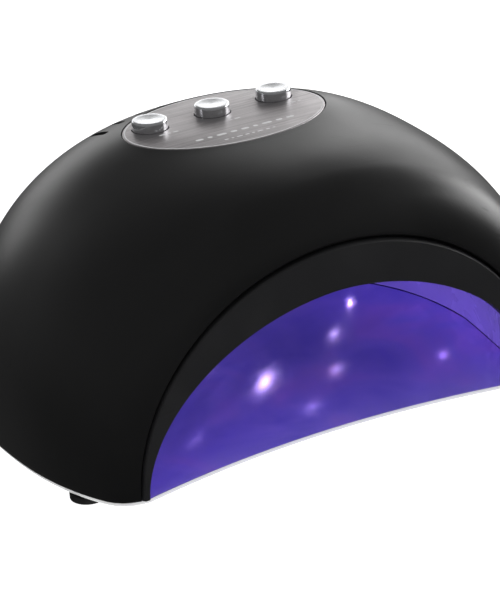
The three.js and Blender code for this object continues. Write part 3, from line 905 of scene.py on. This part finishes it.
def bezelSection(inner, outer):
    # rounded corners, with the outer front one sloping back into the crease
    front = -shellShape["cut"]
    rear = front + bezel["depth"]
    width = np.linalg.norm(outer - inner)
    edge = min(bezel["edge"], width * bezel["edgeShare"])
    brow = min(bezel["brow"], width * bezel["browShare"])
    drop = bezel["drop"] * brow / bezel["brow"]
    corners = [
        (0, front, edge, edge, 0), (width / 2, front, 0, 0, 0),
        (width, front, brow, drop, bezel["browFlat"]),
        (width, rear, edge, edge, 0), (0, rear, edge, edge, 0),
    ]
    points = []
    for i, (along, y, before, after, flat) in enumerate(corners):
        here = np.array([along, y])
        if before == 0:
            points.append(here)
            continue
        start = towards(here, np.array(corners[i - 1][:2]), before)
        end = towards(here, np.array(corners[(i + 1) % len(corners)][:2]), after)
        points += [start, *lipCurve(start, here, end, bezel["cornerSteps"], flat), end]
    points = np.array(points)
    face = inner + (outer - inner) * (points[:, :1] / width)
    return np.column_stack([face[:, 0], points[:, 1], face[:, 1]])


finishPiece(makeBezel(), "housing", ["front_bezel"], bezelBlack)


# reflecting vault and its emitters
vaultMesh = {
    "columns": 160,
    "rows": 28,
    "front": linerLow.y - domeOrigin.y,
    "crown": math.radians(2),  # how far the innermost ring leans from upright
}
emitter = {
    "radius": 0.003,
    "gap": 0.0003,
    "stand": 0.0011,
    "foot": -0.0022,
    "sides": 40,
    "chipRadius": 0.0012,
    "chipSink": 0.00012,
    "chipFoot": 0.0003,
    "chipEdge": 0.0001,
    "chipRise": 0.00022,
    "chipSides": 24,
}
emitterRows = {  # share of the vault's height, and azimuths in degrees from the rear
    "led_low_left": (0.143, [-52.6]),
    "led_low_right": (0.143, [52.6]),
    "led_middle": (0.4, [-88.8, -50.4, -15, 15, 50.4, 88.8]),
    "led_upper": (0.68, [-57.8, -32.5, 32.5, 57.8]),
    "led_top": (0.89, [-65, 0, 65]),
}


def vaultBorder(outset):
    field = vaultField(outset)
    start = (0, vaultMesh["front"], 0)

    def archOver(count):
        turn = np.linspace(0, np.pi, count)[1:-1]
        directions = np.stack([np.cos(turn), np.zeros(len(turn)), np.sin(turn)], 1)
        return rayHits(field, directions, start), np.degrees(turn) / 180

    foot = rayHits(field, np.array([[1.0, 0, 0]]), start)[0]
    return borderLoop(field, foot, vaultMesh["columns"], archOver)


def vaultSkin(outset):
    border, azimuths = vaultBorder(outset)
    turn = np.radians(azimuths)
    across, up = math.sin(vaultMesh["crown"]), math.cos(vaultMesh["crown"])
    crown = np.stack([np.sin(turn) * across, np.cos(turn) * across, np.full(len(turn), up)], 1)
    return fanRows(vaultField(outset), crown, border, vaultMesh["rows"])


def emitterFrames():
    # each emitter's node and its seat on the vault: Z points inwards
    frames = {}
    field = vaultField(0)
    for name, (rise, azimuths) in emitterRows.items():
        for i, azimuth in enumerate(azimuths):
            seat = edgePoints(field, [azimuth], rise * vaultShape["height"])[0]
            inward = Vector(-surfaceNormal(field, seat))
            node = f"{name}_{i + 1}" if len(azimuths) > 1 else name
            turn = Vector((0, 0, 1)).rotation_difference(inward)
            frames[node] = Matrix.Translation(Vector(seat) + domeOrigin) @ turn.to_matrix().to_4x4()
    return frames


emitterPlaces = emitterFrames()


def makeVault():
    outer, inner = vaultSkin(vaultShape["wall"]), vaultSkin(0)
    liner = skinPiece("innerLiner", outer + inner[::-1], 40)
    bore = emitter["radius"] + emitter["gap"]
    depth = 2 * vaultShape["wall"]
    cutters = []
    for matrix in emitterPlaces.values():
        cutters.append(movePoints(roundCutter("emitterBore", [(bore, -depth)], depth, 32), matrix))
    cutAway(liner, cutters, 40)
    return liner


def emitterProfiles():
    # the lens is a low dome; the chip stands in its top
    radius, stand, foot = emitter["radius"], emitter["stand"], emitter["foot"]
    lens = [
        (0, foot, 0), (radius, foot, 0), (radius, stand * 0.2, 0.0001),
        (radius * 0.93, stand * 0.5, 0.0002), (radius * 0.66, stand * 0.85, 0.0003), (0, stand, 0),
    ]
    seat, wide, edge = stand - emitter["chipSink"], emitter["chipRadius"], emitter["chipEdge"]
    low = seat - emitter["chipFoot"]
    chip = [(0, low, 0), (wide, low, 0), (wide, seat + edge, edge), (0, seat + emitter["chipRise"], 0)]
    return lens, chip


def makeLamp(node, lens, matrix):
    # the light that an emitter throws into the vault; it rides on its lens
    data = bpy.data.lights.new(node + "_light", "SPOT")
    weak = node in emitterLight["weakNodes"]
    data.energy = emitterLight["energy"] * (emitterLight["weakShare"] if weak else 1)
    data.color = emitterLight["colour"]
    data.spot_size = emitterLight["cone"]
    data.spot_blend = 1.0
    data.shadow_soft_size = emitter["radius"]
    light = bpy.data.objects.new(node + "_light", data)
    ahead = Matrix.Translation((0, 0, 2 * emitter["stand"])) @ Matrix.Rotation(math.pi, 4, "X")
    light.matrix_world = matrix @ ahead
    scene.collection.objects.link(light)
    light.visible_glossy = False
    light.parent = lens
    light.matrix_parent_inverse = lens.matrix_world.inverted()


def makeEmitters():
    lensProfile, chipProfile = emitterProfiles()
    for node, matrix in emitterPlaces.items():
        lens = movePoints(turnedPiece(node + "_lens", lensProfile, emitter["sides"], 70), matrix)
        finishPiece(lens, "housing", [node], litLens)
        chip = turnedPiece(node + "_chip", chipProfile, emitter["chipSides"], 70)
        glow = brightChip if node == emitterLight["brightNode"] else litChip
        finishPiece(movePoints(chip, matrix), "housing", [], glow)
        makeLamp(node, lens, matrix)


finishPiece(makeVault(), "housing", ["inner_liner"], vaultPaintedVioletLight)
makeEmitters()
print("vault and", len(emitterPlaces), "emitters made")


# control panel and buttons
panelMesh = {"columns": 256, "bevel": 0.0006, "bevelSteps": 5, "footEdge": 0.0003, "boreEdge": 0.0003}
panelPrint = {
    "lift": 0.00001,
    "ink": 0.00002,
    "dashSides": 24,
    "dashGap": 2.2,  # between dashes, in half widths
    "rows": [  # start, end, place across, half width of a dash, and the dashes' lengths in turn
        (-0.0222, 0.0230, -0.0165, 0.0009, (0.0034, 0.0021, 0.0044, 0.0028)),
        (-0.0130, 0.0088, -0.0232, 0.00055, (0.0019, 0.0012, 0.0026)),
        (-0.0300, -0.0215, -0.0010, 0.0005, (0.0024, 0.0016)),
        (0.0000, 0.0060, -0.0036, 0.0005, (0.0016, 0.0026)),
        (0.0300, 0.0345, -0.0020, 0.0004, (0.0020, 0.0013)),
    ],
    "border": (0.0013, 0.0007),  # from the panel's edge, inner and outer
    "borderSides": 180,
}


def makePanel():
    azimuths = np.linspace(0, 360, panelMesh["columns"], endpoint=False)
    bevel, steps, footEdge = panelMesh["bevel"], panelMesh["bevelSteps"], panelMesh["footEdge"]
    thick = panelShape["thickness"]
    rings = [ovalRing(azimuths, -footEdge, thick), ovalRing(azimuths, 0, thick - footEdge)]
    for k in range(steps + 1):
        turn = math.pi / 2 * k / steps
        rings.append(ovalRing(azimuths, -bevel * (1 - math.cos(turn)), bevel * (1 - math.sin(turn))))
    panel = skinPiece("controlPanel", rings, 30)
    bore = buttons["radius"] + buttons["gap"]
    wide = bore + panelMesh["boreEdge"]
    profile = [
        (0, -2 * thick, 0), (bore, -2 * thick, 0), (bore, -0.0002, 0), (wide, 0.0001, 0),
        (wide, thick, 0), (0, thick, 0),
    ]
    cutters = []
    for x in buttonPlaces.values():
        cutters.append(movePoints(turnedPiece("panelBore", profile, 96, 180), buttonFrame(x)))
    cutAway(panel, cutters, 30)
    return panel


def makeButton(side, x):
    # a round cap with a shallow dish, a flange under the shell, and a stem down to its switch
    flangeTop = -shellShape["wall"] - buttons["slack"]
    flangeFoot = flangeTop - buttons["flangeDepth"]
    radius, rise, edge = buttons["radius"], buttons["rise"], buttons["edge"]
    stem, foot, flange = buttons["stem"], -buttons["foot"], buttons["flange"]
    flangeEdge = buttons["flangeEdge"]
    dishIn, dishDown, dishRound = buttons["dishEdge"]
    profile = [
        (0, foot, 0), (stem, foot, buttons["stemEdge"]), (stem, flangeFoot, 0),
        (flange, flangeFoot, flangeEdge), (flange, flangeTop, flangeEdge), (radius, flangeTop, 0),
        (radius, rise, edge), (radius - dishIn * edge, rise - dishDown, dishRound),
        (0, rise - buttons["dish"], 0),
    ]
    button = turnedPiece("button" + side.capitalize(), profile, buttons["sides"], 40, 6)
    movePoints(button, buttonFrame(x))
    finishPiece(button, "button_" + side, ["button_" + side], buttonChrome)


def printMarks():
    # the dashes of each row: (x, y, half length, half width) in the panel's own frame
    marks = []
    for start, end, y, half, lengths in panelPrint["rows"]:
        x, dash = start, 0
        while x < end:
            reach = lengths[dash % len(lengths)] / 2
            marks.append((x + reach, y, reach - half, half))
            x += 2 * reach + panelPrint["dashGap"] * half
            dash += 1
    return marks


def makePrint():
    # plain dashes with round ends and a border line, in thin ink
    low = panelPrint["lift"]
    high = low + panelPrint["ink"]
    points, faces = [], []
    sides = panelPrint["dashSides"]
    for x, y, reach, half in printMarks():
        first = len(points)
        for z in (low, high):
            for t in roundTurns(sides):
                end = reach if math.cos(t) > 0 else -reach
                points.append((x + end + half * math.cos(t), y + half * math.sin(t), z))
        faces += [tuple(first + i for i in face) for face in ringFaces(2, sides)]
        faces.append(tuple(first + i for i in reversed(range(sides))))
        faces.append(tuple(first + sides + i for i in range(sides)))
    sides = panelPrint["borderSides"]
    azimuths = np.linspace(0, 360, sides, endpoint=False)
    inner, outer = panelPrint["border"]
    first, last = len(points), len(points) + 3 * sides
    for grow, z in ((-inner, low), (-outer, low), (-outer, high), (-inner, high)):
        ring = ovalRing(azimuths, grow)
        points += [(px, py - panelShape["y"], z) for px, py, _ in ring]
    faces += [tuple(first + i for i in face) for face in ringFaces(4, sides)]
    for i in range(sides):
        j = (i + 1) % sides
        faces.append((first + i, first + j, last + j, last + i))
    return movePoints(makePiece("panelPrint", points, faces, 30, Vector()), panelFrame)


finishPiece(makePrint(), "housing", [], panelInk)
finishPiece(makePanel(), "housing", ["control_panel"], brushedPanel)
for side, x in buttonPlaces.items():
    makeButton(side, x)
print("panel and buttons made")


# base plate and feet
plate = {
    "inset": 0.0014,
    "frontSag": 0.0105,
    "edge": 0.0004,
    "edgeBend": 0.3,
    "columns": 300,
    "footStem": 0.0026,
    "gap": 0.0003,
    "cutPast": 0.001,
}
foot = {
    "dish": 0.0003,
    "dishRim": (0.0022, 0.0018),  # in from the foot's side, at the dish's top and foot
    "edge": 0.0008,
    "topEdge": 0.0004,
    "stemEdge": 0.0003,
    "sides": 72,
}
plateCorners = ("front_left", "front_right", "rear_left", "rear_right")


def plateOutline(inset):
    # the shell's foot, drawn in all round, with a hollow front edge for the wrist
    total = plate["inset"] + inset
    points = edgePoints(shellField(total), np.linspace(0, 360, plate["columns"], endpoint=False))
    hollow = plate["frontSag"] * np.clip(1 - (points[:, 0] / archShape["halfWidth"]) ** 2, 0, None)
    points[:, 1] = np.maximum(points[:, 1], total - shellShape["cut"] + hollow)
    return points


def makePlate():
    low, high, edge = plateLow.z - shellLow.z, plateHigh.z - shellLow.z, plate["edge"]
    bend = edge * plate["edgeBend"]
    rises = [(edge, 0), (bend, bend), (0, edge)]
    levels = [(inset, low + rise) for inset, rise in rises]
    levels += [(inset, high - rise) for inset, rise in reversed(rises)]
    rings = []
    for inset, z in levels:
        ring = plateOutline(inset)
        ring[:, 2] = z
        rings.append(ring)
    piece = skinPiece("basePlate", rings, 40)
    gap = plate["gap"]
    cutters = []
    for corner in plateCorners:
        keeper = "keeper_" + corner
        cutters.append(boreAt("foot_" + corner, plateLow.z - plate["cutPast"], plate["footStem"] + gap))
        cutters.append(boreAt(keeper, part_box(keeper)[0].z - gap))
    cutAway(piece, cutters, 40)
    return piece


def boreAt(node, low, radius=None):
    # an upright bore on a node's axis, out through the plate's top
    # as wide as the node and its gap, unless a radius is given
    nodeLow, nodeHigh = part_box(node)
    centre = (nodeLow + nodeHigh) / 2
    radius = radius or (nodeHigh.x - nodeLow.x) / 2 + plate["gap"]
    cutter = roundCutter("bore", [(radius, low)], plateHigh.z + plate["cutPast"], 40)
    return movePoints(cutter, Matrix.Translation((centre.x, centre.y, 0)))


def makeFoot(node):
    # a rubber pad with a shallow dish under it, and a stem up into the plate
    low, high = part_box(node)
    centre = (low + high) / 2
    radius = (high.x - low.x) / 2
    top = plateLow.z - plate["gap"]
    stem, dish = plate["footStem"], foot["dish"]
    rimTop, rimFoot = foot["dishRim"]
    profile = [
        (0, dish, 0), (radius - rimTop, dish, 0), (radius - rimFoot, 0, 0), (radius, 0, foot["edge"]),
        (radius, top, foot["topEdge"]), (stem, top, 0), (stem, high.z, foot["stemEdge"]), (0, high.z, 0),
    ]
    piece = turnedPiece(node + "_pad", profile, foot["sides"], 40)
    movePoints(piece, Matrix.Translation((centre.x, centre.y, 0)))
    finishPiece(piece, "base", [node], footRubber)


finishPiece(makePlate(), "base", ["base_plate"], polishedFloor)
for corner in plateCorners:
    makeFoot("foot_" + corner)
print("base plate and feet made")


# power inlet
def makeInlet():
    radius, flange, depth, bore = inlet["radius"], inlet["flange"], inlet["depth"], inlet["bore"]
    seat = -inlet["flangeDepth"]
    floorDepth = inlet["wall"] - depth
    leadWidth, leadDepth, leadRound = inlet["lead"]
    profile = [
        (0, -depth, 0), (radius, -depth, inlet["backEdge"]), (radius, seat, 0), (flange, seat, 0),
        (flange, 0, inlet["edge"]), (bore + leadWidth, 0, leadRound), (bore, -leadDepth, leadRound),
        (bore, floorDepth, 0), (0, floorDepth, 0),
    ]
    piece = movePoints(turnedPiece("powerInlet", profile, inlet["sides"], 40), rearWallFrame())
    finishPiece(piece, "housing", ["dc_inlet"], innerPlastic)


makeInlet()


# screws, heads down
screw = {
    "head": 0.0026,
    "headDepth": 0.0018,
    "headEdge": 0.0007,
    "seatEdge": 0.0001,
    "shank": 0.001,
    "root": 0.86,  # of the shank's radius, as are tip and point
    "tip": 0.8,
    "point": 0.35,
    "pitch": 0.0006,
    "crest": 0.00022,
    "tipLength": 0.0012,
    "recess": 0.0011,
    "recessTaper": 0.7,
    "cross": (0.0026, 0.00052),
    "sides": 48,
}


def screwProfile(reach):
    # a pan head, and a shank ringed by a thread
    head, headDepth, shank, pitch = screw["head"], screw["headDepth"], screw["shank"], screw["pitch"]
    root, crest = shank * screw["root"], screw["crest"]
    profile = [(0, 0, 0), (head, 0, screw["headEdge"]), (head, headDepth, screw["seatEdge"])]
    profile.append((shank, headDepth, 0))
    height = headDepth + pitch
    while height < reach - screw["tipLength"]:
        profile += [(root, height, 0), (shank, height + crest, 0), (root, height + 2 * crest, 0)]
        height += pitch
    profile += [(shank * screw["tip"], reach - pitch, 0), (shank * screw["point"], reach, 0), (0, reach, 0)]
    return profile


def recessCutters():
    # two tapered bars that cross
    long, half = screw["cross"][0] / 2, screw["cross"][1] / 2
    taper = screw["recessTaper"]
    cutters = []
    for x, y in ((long, half), (half, long)):
        corners = [(-x, -y), (x, -y), (x, y), (-x, y)]
        foot = [(px, py, -0.0005) for px, py in corners]
        tip = [(px * taper, py * taper, screw["recess"]) for px, py in corners]
        faces = ringFaces(2, 4) + [(3, 2, 1, 0), (4, 5, 6, 7)]
        cutters.append(makePiece("recess", foot + tip, faces, 30, Vector()))
    return cutters


def makeScrew(node):
    low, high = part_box(node)
    piece = turnedPiece(node + "_body", screwProfile(high.z - low.z), screw["sides"], 30)
    cutAway(piece, recessCutters(), 30)
    movePoints(piece, Matrix.Translation(((low.x + high.x) / 2, (low.y + high.y) / 2, low.z)))
    finishPiece(piece, "housing", [node], steel)


for row in ("rear", "middle", "front"):
    for side in ("left", "right"):
        makeScrew(f"frame_screw_{row}_{side}")
print("frame screws made")


# CAD nodes that keep their shape
keptMaterials = {
    "base_frame": innerPlastic,
    "switch": innerPlastic,
    "control_board": solderResist,
    "led_strip": solderResist,
    "board_screw": steel,
    "magnet": steel,
    "keeper": steel,
    "dc_inlet_pin": steel,
}

for name, piece in cadNodes.items():
    for start, material in keptMaterials.items():
        if name.startswith(start):
            piece.data.materials.clear()
            piece.data.materials.append(material)
print("kept nodes dressed")
